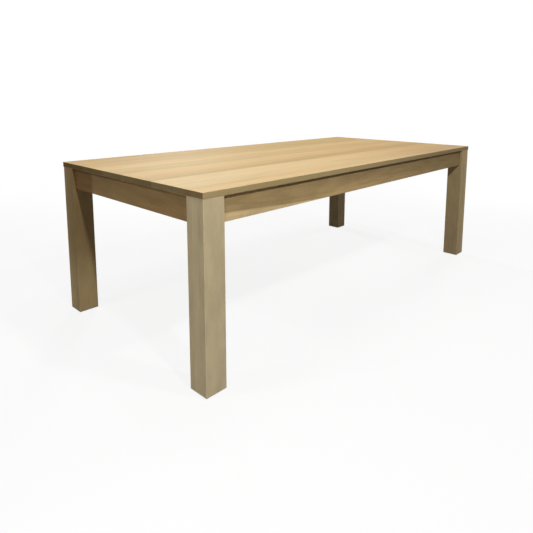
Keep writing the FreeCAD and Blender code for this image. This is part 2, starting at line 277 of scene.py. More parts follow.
@dataclass(frozen=True)
class WoodFinish:
    """Pale close-grained hardwood under satin lacquer. Colours are linear, lengths are metres."""

    pale: Colour
    brown: Colour
    line: Colour
    end_tone: Colour = (0.62, 0.60, 0.57)
    side_tone: Colour = WHITE
    face_edges: Pair = (0.75, 0.95)
    # The arrises are lightened in the colour: a painted highlight where the eased edges catch the light.
    painted_arris_highlight: Colour = (1.22, 1.22, 1.22)
    painted_highlight_share: float = 0.6
    painted_highlight_edges: Pair = (0.85, 0.97)
    warp: Waves = Waves((1.3, 5.0, 5.0), 2.0)
    warp_reach: Triple = (0.0, 0.05, 0.05)
    bands: Waves = Waves((0.35, 11.0, 11.0), 2.0, (0.34, 0.66))
    band_share: float = 0.35
    streaks: Waves = Waves((1.1, 36.0, 36.0), 5.0, (0.34, 0.70))
    streak_share: float = 0.45
    ring_spacing: float = 0.011
    ring_drift: Waves = Waves((0.5, 9.0, 9.0), 2.0)
    ring_drift_share: float = 2.0
    ring_rise: Pair = (0.15, 0.86)
    ring_fall: Pair = (0.86, 1.0)
    ring_share: float = 0.30
    pale_edge_waver: Waves = Waves((2.5, 0.0, 9.0), 3.0)
    pale_edge_reach: float = 0.006
    fibres: Waves = Waves((7.0, 420.0, 420.0), 3.0, (0.45, 0.75))
    fibre_share: float = 0.25
    pores: Waves = Waves((48.0, 1000.0, 1000.0), 1.0, (0.62, 0.74))
    pore_share: float = 0.45
    mottle: Waves = Waves((2.5, 24.0, 24.0), 3.0, (0.25, 0.75))
    mottle_share: float = 0.04
    roughness: Pair = (0.58, 0.76)
    shine: float = 0.10
    relief: float = 0.10
    relief_depth: float = 0.0006
    pore_relief: float = 0.6

    def material(self, board: Board) -> bpy.types.Material:
        """Make the wood of one board.

        Args:
            board: The board's own look.

        Returns:
            The board's material.
        """
        tree = new_tree(f"{board.name}_wood")
        coordinates = tree.add("TexCoord").outputs["Object"]
        laid = tree.add("Mapping", {"Vector": coordinates, "Rotation": board.grain.turn}).outputs[0]
        along = self._sawn(tree, laid, board.cut)
        fibres = tree.noise(along, self.fibres)
        pores = tree.noise(along, self.pores)
        colour = self._figure(tree, along)
        for zone in board.pale_zones:
            colour = self._pale_zone(tree, coordinates, colour, zone)
        colour = tree.mix(tree.remap(fibres, *self.fibres.spread, 0.0, self.fibre_share), colour, self.line)
        colour = tree.mix(tree.remap(pores, *self.pores.spread, 0.0, self.pore_share), colour, self.line)
        colour = self._mottled(tree, along, colour)
        colour = self._toned(tree, laid, colour, board)
        colour = self._faced(tree, colour, board)
        height = tree.math("SUBTRACT", fibres, tree.math("MULTIPLY", pores, self.pore_relief))
        return tree.finish({
            "Base Color": colour,
            "Roughness": tree.remap(fibres, *NOISE_SPREAD, *self.roughness),
            "Normal": tree.bump(self.relief, self.relief_depth, height),
            "Specular IOR Level": self.shine,
        })

    def _sawn(self, tree: NodeTree, laid: Socket, cut: Cut) -> Socket:
        """Lay a board's coordinates along its fibres.

        Args:
            tree: The material's nodes.
            laid: Coordinates turned to the board's grain.
            cut: How the board was sawn.

        Returns:
            Coordinates with X along the fibres and the pith on the X axis, gently warped.
        """
        tilt = (0.0, math.radians(cut.tilt[0]), math.radians(cut.tilt[1]))
        place = (cut.along, *cut.pith)
        sawn = tree.add("Mapping", {"Vector": laid, "Location": place, "Rotation": tilt}).outputs[0]
        wander = tree.noise(sawn, self.warp, "Color")
        centred = tree.vector("SUBTRACT", wander, (NOISE_MIDDLE,) * 3)
        return tree.vector("ADD", sawn, tree.vector("MULTIPLY", centred, self.warp_reach))

    def _figure(self, tree: NodeTree, along: Socket) -> Socket:
        """Make the broad figure of the wood.

        Args:
            tree: The material's nodes.
            along: Coordinates along the fibres.

        Returns:
            The colour with wide bands, streaks and the dark lines of the yearly rings.
        """
        bands = tree.remap(tree.noise(along, self.bands), *self.bands.spread, 0.0, self.band_share)
        streaks = tree.remap(tree.noise(along, self.streaks), *self.streaks.spread, 0.0, self.streak_share)
        colour = tree.mix(tree.math("ADD", bands, streaks), self.pale, self.brown)
        across_fibres = (0.0, 1.0, 1.0)
        from_pith = tree.length(tree.vector("MULTIPLY", along, across_fibres))
        rings = tree.math("DIVIDE", from_pith, self.ring_spacing)
        drift = tree.math("MULTIPLY", tree.noise(along, self.ring_drift), self.ring_drift_share)
        phase = tree.math("FRACT", tree.math("ADD", rings, drift))
        rise = tree.remap(phase, *self.ring_rise, 0.0, self.ring_share)
        fall = tree.remap(phase, *self.ring_fall, 1.0, 0.0)
        return tree.mix(tree.math("MULTIPLY", rise, fall), colour, self.line)

    def _pale_zone(self, tree: NodeTree, coordinates: Socket, colour: Socket, zone: PaleZone) -> Socket:
        """Lighten one paler zone, which on the front apron is partly painted shade.

        Args:
            tree: The material's nodes.
            coordinates: The coordinates of the frame.
            colour: The colour so far.
            zone: The paler zone.

        Returns:
            The colour, paler below a wavering edge.
        """
        x, _, z = tree.parts(coordinates)
        waver = tree.math("SUBTRACT", tree.noise(coordinates, self.pale_edge_waver), NOISE_MIDDLE)
        edge = tree.math("ADD", z, tree.math("MULTIPLY", x, zone.fall))
        edge = tree.math("ADD", edge, tree.math("MULTIPLY", waver, self.pale_edge_reach))
        below = tree.remap(edge, zone.height - zone.softness, zone.height + zone.softness, 1.0, 0.0)
        comes = tree.remap(x, *zone.comes, 0.0, 1.0)
        goes = tree.remap(x, *zone.goes, 1.0, 0.0)
        share = tree.math("MULTIPLY", below, tree.math("MULTIPLY", comes, goes))
        return tree.mix(share, colour, tree.vector("MULTIPLY", colour, zone.tone))

    def _mottled(self, tree: NodeTree, along: Socket, colour: Socket) -> Socket:
        """Shade the wood softly in patches.

        Args:
            tree: The material's nodes.
            along: Coordinates along the fibres.
            colour: The colour so far.

        Returns:
            The mottled colour.
        """
        lowest, highest = 1.0 - self.mottle_share, 1.0 + self.mottle_share
        shade = tree.remap(tree.noise(along, self.mottle), *self.mottle.spread, lowest, highest)
        return tree.vector("MULTIPLY", colour, tree.grey(shade))

    def _toned(self, tree: NodeTree, laid: Socket, colour: Socket, board: Board) -> Socket:
        """Give the wood the board's tone, which on the legs and the left apron also holds painted light and
        shade.

        Args:
            tree: The material's nodes.
            laid: Coordinates turned to the board's grain.
            colour: The colour so far.
            board: The board's own look.

        Returns:
            The colour with a tone that changes slowly along and across the grain.
        """
        x, y, _ = tree.parts(laid)
        along = tree.mix(tree.remap(x, *board.span, 0.0, 1.0), board.tint, board.far_tint)
        shade = tree.remap(y, *board.sides, *board.across)
        return tree.vector("MULTIPLY", tree.vector("MULTIPLY", colour, along), tree.grey(shade))

    def _faced(self, tree: NodeTree, colour: Socket, board: Board) -> Socket:
        """Tell the faces of a board apart.

        Args:
            tree: The material's nodes.
            colour: The colour so far.
            board: The board's own look.

        Returns:
            The colour with end grain and edges darker than the wide faces, and arrises paler: a painted
            highlight.
        """
        normal = tree.add("NewGeometry").outputs["Normal"]
        inputs = {"Vector": normal, "Rotation": board.grain.turn}
        turned = tree.add("Mapping", inputs, vector_type="NORMAL").outputs[0]
        x, y, z = (tree.math("ABSOLUTE", part) for part in tree.parts(turned))
        for facing, tone in ((x, blend(self.end_tone, board.end_shade)), (y, self.side_tone)):
            if tone != WHITE:
                share = tree.remap(facing, *self.face_edges, 0.0, 1.0)
                colour = tree.mix(share, colour, tree.vector("MULTIPLY", colour, tone))
        # Painted highlight: the colour is lightened where the normal turns between two faces, along the
        # arrises.
        widest = tree.math("MAXIMUM", tree.math("MAXIMUM", z, x), y)
        painted_highlight = tree.remap(widest, *self.painted_highlight_edges, self.painted_highlight_share, 0.0)
        return tree.mix(painted_highlight, colour, tree.vector("MULTIPLY", colour, self.painted_arris_highlight))


@dataclass(frozen=True)
class SteelFinish:
    """Plated steel with faint drawing marks and dull spots. Lengths are metres."""

    base: Colour
    dull: Colour
    spots: Waves = Waves((240.0, 240.0, 240.0), 4.0, (0.4, 0.7))
    marks: Waves = Waves((900.0, 900.0, 90.0), 2.0)
    roughness: Pair = (0.28, 0.48)
    relief: float = 0.08
    relief_depth: float = 0.0002

    def material(self, name: str) -> bpy.types.Material:
        """Make the plated steel.

        Args:
            name: The material's name.

        Returns:
            The steel's material.
        """
        tree = new_tree(name)
        coordinates = tree.add("TexCoord").outputs["Object"]
        spots = tree.noise(coordinates, self.spots)
        marks = tree.noise(coordinates, self.marks)
        return tree.finish({
            "Base Color": tree.mix(tree.remap(spots, *self.spots.spread, 0.0, 1.0), self.base, self.dull),
            "Metallic": 1.0,
            "Roughness": tree.remap(spots, *NOISE_SPREAD, *self.roughness),
            "Normal": tree.bump(self.relief, self.relief_depth, marks),
        })


@dataclass(frozen=True)
class NylonFinish:
    """Moulded nylon with a fine matte grain. Lengths are metres."""

    base: Colour
    worn: Colour
    grain: Waves = Waves((1800.0, 1800.0, 1800.0), 2.0)
    wear: Waves = Waves((160.0, 160.0, 160.0), 5.0, (0.45, 0.8))
    roughness: Pair = (0.5, 0.7)
    relief: float = 0.15
    relief_depth: float = 0.0002

    def material(self, name: str) -> bpy.types.Material:
        """Make the moulded nylon.

        Args:
            name: The material's name.

        Returns:
            The nylon's material.
        """
        tree = new_tree(name)
        coordinates = tree.add("TexCoord").outputs["Object"]
        grain = tree.noise(coordinates, self.grain)
        wear = tree.noise(coordinates, self.wear)
        return tree.finish({
            "Base Color": tree.mix(tree.remap(wear, *self.wear.spread, 0.0, 1.0), self.base, self.worn),
            "Roughness": tree.remap(wear, *NOISE_SPREAD, *self.roughness),
            "Normal": tree.bump(self.relief, self.relief_depth, grain),
        })


def dress(piece: bpy.types.Object, material: bpy.types.Material) -> None:
    """Give a piece one material and report it.

    Args:
        piece: The object to dress.
        material: Its only material.
    """
    piece.data.materials.clear()
    piece.data.materials.append(material)
    LOG.info("%s wears %s", piece.name, material.name)


TOP_WOOD = WoodFinish(
    pale=(0.78, 0.585, 0.312),
    brown=(0.62, 0.43, 0.20),
    line=(0.46, 0.30, 0.13),
    end_tone=(0.36, 0.35, 0.31),
    side_tone=(0.67, 0.70, 0.67),
    ring_share=0.08,
    band_share=0.18,
    streak_share=0.20,
    fibre_share=0.15,
)
LEG_WOOD = WoodFinish(
    pale=(0.72, 0.60, 0.375),
    brown=(0.66, 0.54, 0.33),
    line=(0.46, 0.36, 0.20),
    ring_share=0.04,
    band_share=0.25,
    streak_share=0.10,
    fibre_share=0.10,
    mottle=Waves((9.0, 26.0, 26.0), 3.0, (0.25, 0.75)),
    mottle_share=0.07,
)
APRON_WOOD = WoodFinish(
    pale=(0.48, 0.338, 0.164),
    brown=(0.40, 0.27, 0.12),
    line=(0.26, 0.165, 0.065),
    ring_share=0.18,
    band_share=0.25,
    streak_share=0.25,
    fibre_share=0.15,
    mottle=Waves((8.0, 30.0, 30.0), 3.0, (0.25, 0.75)),
    mottle_share=0.09,
)
FRAME_WOOD = WoodFinish(
    pale=(0.66, 0.53, 0.35),
    brown=(0.55, 0.42, 0.26),
    line=(0.38, 0.27, 0.15),
    roughness=(0.6, 0.8),
)
PLATED_STEEL = SteelFinish(base=(0.62, 0.62, 0.60), dull=(0.42, 0.42, 0.40))
SCREW_STEEL = SteelFinish(base=(0.60, 0.50, 0.28), dull=(0.40, 0.32, 0.18))
GLIDE_NYLON = NylonFinish(base=(0.05, 0.045, 0.04), worn=(0.10, 0.09, 0.08))

PALE_MIDDLE = (
    PaleZone(
        height=1.0,
        fall=0.0,
        softness=0.01,
        comes=(-0.9, -0.3),
        goes=(0.2, 0.7),
        tone=(1.05, 1.06, 1.07),
    ),
)


@dataclass
class Top:
    """The top: boards glued edge to edge, each with its own tone and cut."""

    nodes: Nodes
    boards: Sequence[Board] = (
        Board(
            "top_board_1",
            Grain.LENGTH,
            Cut(0.3, (0.62, -0.66), (0.5, 0.9)),
            tint=(0.98, 0.94, 0.91),
            far_tint=(0.87, 0.80, 0.77),
            span=(-0.1, 0.9),
            pale_zones=PALE_MIDDLE,
        ),
        Board(
            "top_board_2",
            Grain.LENGTH,
            Cut(2.1, (0.38, -0.69), (-0.7, 0.5)),
            tint=(1.05, 1.07, 1.11),
            far_tint=(0.97, 0.87, 0.77),
            sides=(-0.453, -0.240),
            across=(0.97, 1.05),
            pale_zones=PALE_MIDDLE,
        ),
        Board(
            "top_board_3",
            Grain.LENGTH,
            Cut(4.4, (0.10, -0.65), (0.4, -0.8)),
            tint=(0.97, 0.92, 0.86),
            far_tint=(1.01, 0.93, 0.82),
            sides=(-0.240, -0.011),
            across=(0.88, 1.11),
        ),
        Board(
            "top_board_4",
            Grain.LENGTH,
            Cut(6.2, (-0.10, -0.70), (0.8, 0.4)),
            tint=(0.98, 0.97, 0.94),
            far_tint=(1.09, 1.02, 0.94),
            sides=(-0.011, 0.146),
            across=(0.95, 1.03),
        ),
        Board(
            "top_board_5",
            Grain.LENGTH,
            Cut(8.7, (-0.22, -0.67), (-0.5, -0.7)),
            tint=(1.01, 0.98, 0.93),
            far_tint=(1.07, 1.02, 0.92),
            sides=(0.146, 0.349),
            across=(1.09, 0.93),
            end_shade=(0.71, 0.66, 0.50),
        ),
        Board(
            "top_board_6",
            Grain.LENGTH,
            Cut(10.9, (-0.50, -0.69), (0.6, 0.6)),
            tint=(0.95, 0.89, 0.82),
            far_tint=(1.04, 0.98, 0.85),
            end_shade=(0.56, 0.51, 0.37),
        ),
    )

    def build(self) -> None:
        """Dress the boards from the front edge to the back edge."""
        for board in self.boards:
            dress(self.nodes[board.name], TOP_WOOD.material(board))


@dataclass(frozen=True)
class LegTones:
    """One leg's corner, its tones at the foot and above, and the shades of its three layers, with painted
    light and shade.
    """

    corner: str
    foot_tone_and_painted_light: Colour
    upper: Colour
    layer_tones_and_painted_shade: Triple = (1.0, 1.0, 1.0)


@dataclass
class Legs:
    """The four legs, each glued up from three layers. Lengths are metres, tilts degrees."""

    nodes: Nodes
    # The feet are painted brighter, standing in for light bounced up from the floor. The back left leg's
    # upper part and the inner layers of the back left and front right legs are painted darker, standing in
    # for shade.
    legs: Sequence[LegTones] = (
        LegTones("front_left", foot_tone_and_painted_light=(1.08, 1.07, 1.06), upper=(0.97, 0.96, 0.94), layer_tones_and_painted_shade=(0.97, 1.19, 1.05)),
        LegTones("front_right", foot_tone_and_painted_light=(1.01, 0.94, 0.84), upper=(1.03, 0.95, 0.83), layer_tones_and_painted_shade=(1.02, 1.02, 0.92)),
        LegTones("back_left", foot_tone_and_painted_light=(1.14, 1.02, 0.85), upper=(0.61, 0.51, 0.37), layer_tones_and_painted_shade=(1.0, 1.0, 0.84)),
        LegTones("back_right", foot_tone_and_painted_light=(0.90, 0.83, 0.74), upper=(0.85, 0.78, 0.69)),
    )
    layers: Sequence[str] = ("outer", "core", "inner")
    layer_tints: Sequence[Colour] = ((1.02, 1.01, 1.0), (0.91, 0.90, 0.88), (1.0, 0.98, 0.96))
    # Heights over which a leg's tone changes from its painted bright foot to its upper part.
    span: Pair = (0.06, 0.42)
    leg_step: float = 1.7
    layer_step: float = 0.53
    first_pith: Pair = (0.21, 0.35)
    pith_step: Pair = (0.07, -0.11)
    tilt: Pair = (0.8, -0.9)

    def build(self) -> None:
        """Dress each layer with its own cut of the log."""
        for leg_number, leg in enumerate(self.legs):
            for layer_number, layer in enumerate(self.layers):
                tint = blend(self.layer_tints[layer_number], (leg.layer_tones_and_painted_shade[layer_number],) * 3)
                board = Board(
                    f"{leg.corner}_leg_{layer}_layer",
                    Grain.HEIGHT,
                    self._cut(leg_number, layer_number),
                    blend(tint, leg.foot_tone_and_painted_light),
                    blend(tint, leg.upper),
                    self.span,
                )
                dress(self.nodes[board.name], LEG_WOOD.material(board))

    def _cut(self, leg_number: int, layer_number: int) -> Cut:
        """Choose a place in the log for one layer of one leg.

        Args:
            leg_number: The leg's number, from 0.
            layer_number: The layer's number in the leg, from 0.

        Returns:
            The layer's cut.
        """
        along = self.leg_step * leg_number + self.layer_step * layer_number
        side = self.first_pith[0] + self.pith_step[0] * leg_number
        depth = self.first_pith[1] + self.pith_step[1] * layer_number
        return Cut(along, (side, depth), self.tilt)


@dataclass
class Aprons:
    """The four aprons between the legs. Lengths are metres."""

    nodes: Nodes
    front_cut: Cut = Cut(3.3, (0.49, -0.71), (0.5, 1.1))
    back_cut: Cut = Cut(6.2, (-0.49, -0.69), (0.9, -0.7))
    left_cut: Cut = Cut(1.9, (1.20, -0.78), (0.5, 0.6))
    right_cut: Cut = Cut(5.6, (-1.20, -0.78), (0.5, 0.6))
    # The first zone is sapwood along the lower edge. The second is painted shade: the apron is left darker
    # near its top, under the top's overhang, and paler below.
    front_sapwood_and_painted_shade: Sequence[PaleZone] = (
        PaleZone(
            height=0.6125,
            fall=0.056,
            softness=0.002,
            comes=(-2.0, -1.9),
            goes=(-0.5, -0.4),
            tone=(1.65, 1.72, 1.85),
        ),
        # Painted shade under the top's overhang, given as a paler lower part.
        PaleZone(
            height=0.676,
            fall=0.0,
            softness=0.045,
            comes=(-0.75, -0.28),
            goes=(-0.18, 1.25),
            tone=(1.68, 1.68, 1.68),
        ),
    )
    # The end aprons are paler below about 0.68 m and darker towards their top edge.
    end_paler_below: Sequence[PaleZone] = (
        PaleZone(
            height=0.680,
            fall=0.0,
            softness=0.030,
            comes=(-3.0, -2.9),
            goes=(2.9, 3.0),
            tone=(1.12, 1.11, 1.10),
        ),
    )
    end_tint: Colour = (0.91, 0.84, 0.76)
    # The left apron's back end is darker past a sharp upright edge: a painted shadow.
    left_apron_painted_shadow: Colour = (0.55, 0.44, 0.33)
    painted_shadow_edge: Pair = (0.262, 0.306)
    long_tint: Colour = (1.02, 1.02, 1.01)
    long_far_tint: Colour = (0.84, 0.83, 0.80)

    def build(self) -> None:
        """Dress the long aprons along the table and the short ones across it."""
        boards = (
            self._long_board("front_apron", self.front_cut, self.front_sapwood_and_painted_shade),
            self._long_board("back_apron", self.back_cut),
            self._end_board("left_apron", self.left_cut, self.left_apron_painted_shadow),
            self._end_board("right_apron", self.right_cut, self.end_tint),
        )
        for board in boards:
            dress(self.nodes[board.name], APRON_WOOD.material(board))

    def _end_board(self, name: str, cut: Cut, far_tint: Colour) -> Board:
        """Return the look of an apron across the table, with far_tint on its back end: a painted shadow on
        the left apron.
        """
        return Board(name, Grain.WIDTH, cut, self.end_tint, far_tint, self.painted_shadow_edge, pale_zones=self.end_paler_below)

    def _long_board(self, name: str, cut: Cut, pale_zones: Sequence[PaleZone] = ()) -> Board:
        """Return the look of an apron along the table, darker towards its right end."""
        return Board(name, Grain.LENGTH, cut, self.long_tint, self.long_far_tint, pale_zones=pale_zones)


@dataclass
class Underframe:
    """The corner braces and cross rails under the top. Lengths are metres."""

    nodes: Nodes
    brace_grain: Sequence[tuple[str, Grain]] = (
        ("front_left", Grain.FALLING_DIAGONAL),
        ("front_right", Grain.RISING_DIAGONAL),
        ("back_left", Grain.RISING_DIAGONAL),
        ("back_right", Grain.FALLING_DIAGONAL),
    )
    brace_cut: Cut = Cut(5.1, (0.07, -0.60), (0.9, 0.5))
    brace_step: float = 1.3
    rails: Sequence[str] = ("left_cross_rail", "right_cross_rail")
    rail_cut: Cut = Cut(7.7, (0.42, -0.62))
    rail_step: float = 2.3

    def build(self) -> None:
        """Dress the braces and rails in bare planed wood."""
        boards = [
            Board(f"{corner}_corner_brace", grain, self.brace_cut.shifted(self.brace_step * number))
            for number, (corner, grain) in enumerate(self.brace_grain)
        ]
        boards += [
            Board(name, Grain.WIDTH, self.rail_cut.shifted(self.rail_step * number))
            for number, name in enumerate(self.rails)
        ]
        for board in boards:
            dress(self.nodes[board.name], FRAME_WOOD.material(board))


WELD_DISTANCE = 1e-5
SEAM_DISTANCE = 1e-6
SHARP_ANGLE = 35.0
BRACE_REACH: Pair = (1.129, 0.545)


@dataclass(frozen=True)
class Shank:
    """One fastener as the frame holds it: where it starts, the way it points and its radii, in metres."""

    start: Vector
    axis: Vector
    length: float
    head_radius: float
    shank_radius: float
    head_height: float

    @property
    def place(self) -> Matrix:
        """Return the move from a fastener that stands up from the origin to this one's place."""
        return Matrix.Translation(self.start) @ UP.rotation_difference(self.axis).to_matrix().to_4x4()


def measure(points: Sequence[Vector], axis: Vector) -> Shank:
    """Return the fastener whose corners are given.

    Args:
        points: The corners of one solid of the frame.
        axis: The way that it points, from its head to its tip.

    Returns:
        The fastener's place and sizes.
    """
    heights = [point.dot(axis) for point in points]
    across = [point - axis * height for point, height in zip(points, heights)]
    middle = sum(across, Vector()) / len(across)
    radii = [(point - middle).length for point in across]
    wide = (min(radii) + max(radii)) / 2
    head = [height for height, radius in zip(heights, radii) if radius >= wide]
    start = middle + axis * min(heights)
    return Shank(start, axis, max(heights) - min(heights), max(radii), min(radii), max(head) - min(head))


def solids(node: bpy.types.Object) -> list[list[Vector]]:
    """Return the corners of each separate solid of a node.

    Args:
        node: A node of the frame.

    Returns:
        One list of corners for each solid.
    """
    mesh = bmesh.new()
    mesh.from_mesh(node.data)
    bmesh.ops.remove_doubles(mesh, verts=mesh.verts, dist=WELD_DISTANCE)
    left = set(mesh.verts)
    groups = []
    for vertex in mesh.verts:
        if vertex not in left:
            continue
        group, edge_of_search = [], [vertex]
        left.discard(vertex)
        while edge_of_search:
            current = edge_of_search.pop()
            group.append(current.co.copy())
            for edge in current.link_edges:
                other = edge.other_vert(current)
                if other in left:
                    left.discard(other)
                    edge_of_search.append(other)
        groups.append(group)
    mesh.free()
    return groups


def upwards(_: Vector) -> Vector:
    """Return the way that an upright fastener points."""
    return UP.copy()


def to_nearest_apron(middle: Vector) -> Vector:
    """Find the way that a brace screw points.

    Args:
        middle: The screw's middle.

    Returns:
        The way straight out to the apron that the screw bites.
    """
    room_x, room_y = BRACE_REACH[0] - abs(middle.x), BRACE_REACH[1] - abs(middle.y)
    if room_x < room_y:
        return Vector((math.copysign(1.0, middle.x), 0.0, 0.0))
    return Vector((0.0, math.copysign(1.0, middle.y), 0.0))


def out_of_leg(middle: Vector) -> Vector:
    """Return the way that a hanger bolt comes out of its leg, towards the middle of the table."""
    return Vector((-math.copysign(1.0, middle.x), -math.copysign(1.0, middle.y), 0.0)).normalized()


def revolve(outline: Sequence[Pair], steps: int, closed: bool = False) -> bmesh.types.BMesh:
    """Return the skin that an outline sweeps about the upright axis.

    Args:
        outline: Points of the outline as radius and height.
        steps: Number of sides.
        closed: Whether the last point joins the first.

    Returns:
        The new mesh.
    """
    mesh = bmesh.new()
    verts = [mesh.verts.new((radius, 0.0, height)) for radius, height in outline]
    pairs = list(zip(verts, verts[1:])) + ([(verts[-1], verts[0])] if closed else [])
    edges = [mesh.edges.new(pair) for pair in pairs]
    bmesh.ops.spin(
        mesh, geom=verts + edges, cent=(0.0, 0.0, 0.0), axis=UP, angle=math.tau, steps=steps, use_merge=True
    )
    bmesh.ops.remove_doubles(mesh, verts=mesh.verts, dist=SEAM_DISTANCE)
    bmesh.ops.recalc_face_normals(mesh, faces=mesh.faces)
    return mesh


def set_of(
    name: str,
    shapes: Sequence[tuple[bmesh.types.BMesh, Matrix]],
    node: str,
) -> bpy.types.Object:
    """Make one object of many placed shapes, standing for a node of the frame.

    Args:
        name: The object's name.
        shapes: Each shape with its place. The shapes are freed.
        node: The node that the object stands for.

    Returns:
        The new object.
    """
    data = bpy.data.meshes.new(name)
    whole = bmesh.new()
    for shape, place in shapes:
        bmesh.ops.transform(shape, matrix=place, verts=shape.verts)
        shape.to_mesh(data)
        whole.from_mesh(data)
        shape.free()
    for face in whole.faces:
        face.smooth = True
    whole.to_mesh(data)
    whole.free()
    data.set_sharp_from_angle(angle=math.radians(SHARP_ANGLE))
    piece = bpy.data.objects.new(name, data)
    bpy.context.scene.collection.objects.link(piece)
    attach(piece, BODY)
    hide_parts(node)
    return piece


@dataclass
class Hardware:
    """Bolts, nuts, washers, clips, screws, nails and glides.

    Lengths are metres and angles degrees. A head's outline is given in shares of its radius and height, a
    point in shank radii, and a recess in shares of the head's height and of its own width.
    """

    nodes: Nodes
    sides: int = 24
    pan_head: Sequence[Pair] = ((0.55, 0.0), (0.72, 0.06), (0.90, 0.30), (1.0, 0.70), (1.0, 1.0))
    nail_head: Sequence[Pair] = ((0.0, 0.0), (0.82, 0.05), (1.0, 0.40), (1.0, 1.0))
    point_length: float = 3.0
    recess_depth: float = 0.6
    recess_arm: float = 0.92
    recess_waist: float = 0.34
    recess_floor: float = 0.6
    arm_cosine: float = 0.8
    thread_pitch: float = 0.00125
    thread_depth: float = 0.0007
    bolt_bite: float = 0.050
    washer_edge: float = 0.0002
    glide_sides: int = 48
    glide_edge: float = 0.001
    glide_rim_share: float = 0.3
    glide_recess_radius: float = 0.004
    glide_recess_depth: float = 0.0022
    sheet_edge: float = 0.00025
    sheet_edge_steps: int = 2
    sheet_edge_angle: float = 25.0

    def build(self) -> None:
        """Make the round pieces, ease the flat ones and dress them all."""
        plated = PLATED_STEEL.material("plated_steel")
        yellow = SCREW_STEEL.material("screw_steel")
        for name in ("top_clips", "hanger_nuts"):
            self._ease(self.nodes[name])
            dress(self.nodes[name], plated)
        dress(self._round("hanger_bolts", out_of_leg, self._bolt), plated)
        dress(self._round("hanger_washers", out_of_leg, self._washer), plated)
        dress(self._round("brace_screws", to_nearest_apron, self._screw), yellow)
        dress(self._round("rail_screws", upwards, self._screw), yellow)
        dress(self._round("clip_screws", upwards, self._screw), yellow)
        dress(self._round("glide_nails", upwards, self._nail), yellow)
        glides = self._round("floor_glides", upwards, self._glide)
        dress(glides, GLIDE_NYLON.material("glide_nylon"))

    def _round(
        self,
        node: str,
        axis_of: Callable[[Vector], Vector],
        shape_of: Callable[[Shank], bmesh.types.BMesh],
    ) -> bpy.types.Object:
        """Make a round piece in the place of each solid of a node.

        Args:
            node: The node's name.
            axis_of: Gives the way that a solid points from its middle.
            shape_of: Makes the shape of one measured solid, standing up from the origin.

        Returns:
            The object that stands for the node.
        """
        shapes = []
        for points in solids(self.nodes[node]):
            middle = sum(points, Vector()) / len(points)
            shank = measure(points, axis_of(middle))
            shapes.append((shape_of(shank), shank.place))
        return set_of(f"round_{node}", shapes, node)

    def _ease(self, node: bpy.types.Object) -> None:
        """Ease the sharp edges of a flat piece with live modifiers.

        Args:
            node: The flat piece.
        """
        weld = node.modifiers.new("join_facets", "WELD")
        weld.merge_threshold = WELD_DISTANCE
        bevel = node.modifiers.new("eased_edges", "BEVEL")
        bevel.width = self.sheet_edge
        bevel.segments = self.sheet_edge_steps
        bevel.limit_method = "ANGLE"
        bevel.angle_limit = math.radians(self.sheet_edge_angle)

    def _driven(self, shank: Shank, head: Sequence[Pair]) -> bmesh.types.BMesh:
        """Make a fastener with a head and a point.

        Args:
            shank: The measured fastener.
            head: The head's outline, in shares of its radius and height.

        Returns:
            The new mesh.
        """
        radius, height, length = shank.shank_radius, shank.head_height, shank.length
        outline = [(across * shank.head_radius, down * height) for across, down in head]
        outline += [(radius, height), (radius, length - self.point_length * radius), (0.0, length)]
        return revolve(outline, self.sides)

    def _screw(self, shank: Shank) -> bmesh.types.BMesh:
        """Make a pan-head wood screw with a cross recess.

        Args:
            shank: The measured screw.

        Returns:
            The new mesh.
        """
        mesh = self._driven(shank, self.pan_head)
        self._recess(mesh, self.recess_depth * shank.head_height)
        return mesh

    def _recess(self, mesh: bmesh.types.BMesh, depth: float) -> None:
        """Close the open top of a screw's head and sink a cross into it.

        Args:
            mesh: The screw, with its open rim at height 0.
            depth: Depth of the cross.
        """
        rim = [edge for edge in mesh.edges if edge.is_boundary]
        face = bmesh.ops.contextual_create(mesh, geom=rim)["faces"][0]
        inner = bmesh.ops.extrude_discrete_faces(mesh, faces=[face])["faces"][0]
        for vertex in inner.verts:
            angle = math.atan2(vertex.co.y, vertex.co.x)
            on_arm = abs(math.cos(2.0 * angle)) > self.arm_cosine
            vertex.co.xy *= self.recess_arm if on_arm else self.recess_waist
        floor = bmesh.ops.extrude_discrete_faces(mesh, faces=[inner])["faces"][0]
        bmesh.ops.scale(mesh, vec=(self.recess_floor, self.recess_floor, 1.0), verts=floor.verts)
        bmesh.ops.translate(mesh, vec=(0.0, 0.0, depth), verts=floor.verts)
        bmesh.ops.recalc_face_normals(mesh, faces=mesh.faces)

    def _nail(self, shank: Shank) -> bmesh.types.BMesh:
        """Return a flat-head nail."""
        return self._driven(shank, self.nail_head)

    def _bolt(self, shank: Shank) -> bmesh.types.BMesh:
        """Make a hanger bolt: a plain bite in the leg and a machine thread outside it.

        Args:
            shank: The measured bolt.

        Returns:
            The new mesh.
        """
        radius = shank.head_radius
        root = radius - self.thread_depth
        outline = [(0.0, 0.0), (root, 0.0), (radius, self.thread_pitch), (radius, self.bolt_bite)]
        height = self.bolt_bite
        while height + self.thread_pitch < shank.length:
            outline.append((root, height + self.thread_pitch / 2))
            outline.append((radius, height + self.thread_pitch))
            height += self.thread_pitch
        outline += [(root, shank.length), (0.0, shank.length)]
        return revolve(outline, self.sides)

    def _washer(self, shank: Shank) -> bmesh.types.BMesh:
        """Make a flat washer with eased edges.

        Args:
            shank: The measured washer.

        Returns:
            The new mesh.
        """
        outer, inner, height, edge = shank.head_radius, shank.shank_radius, shank.length, self.washer_edge
        return revolve((
            (inner, 0.0),
            (outer, 0.0),
            (outer, height - edge),
            (outer - edge, height),
            (inner + edge, height),
            (inner, height - edge),
        ), self.sides, closed=True)

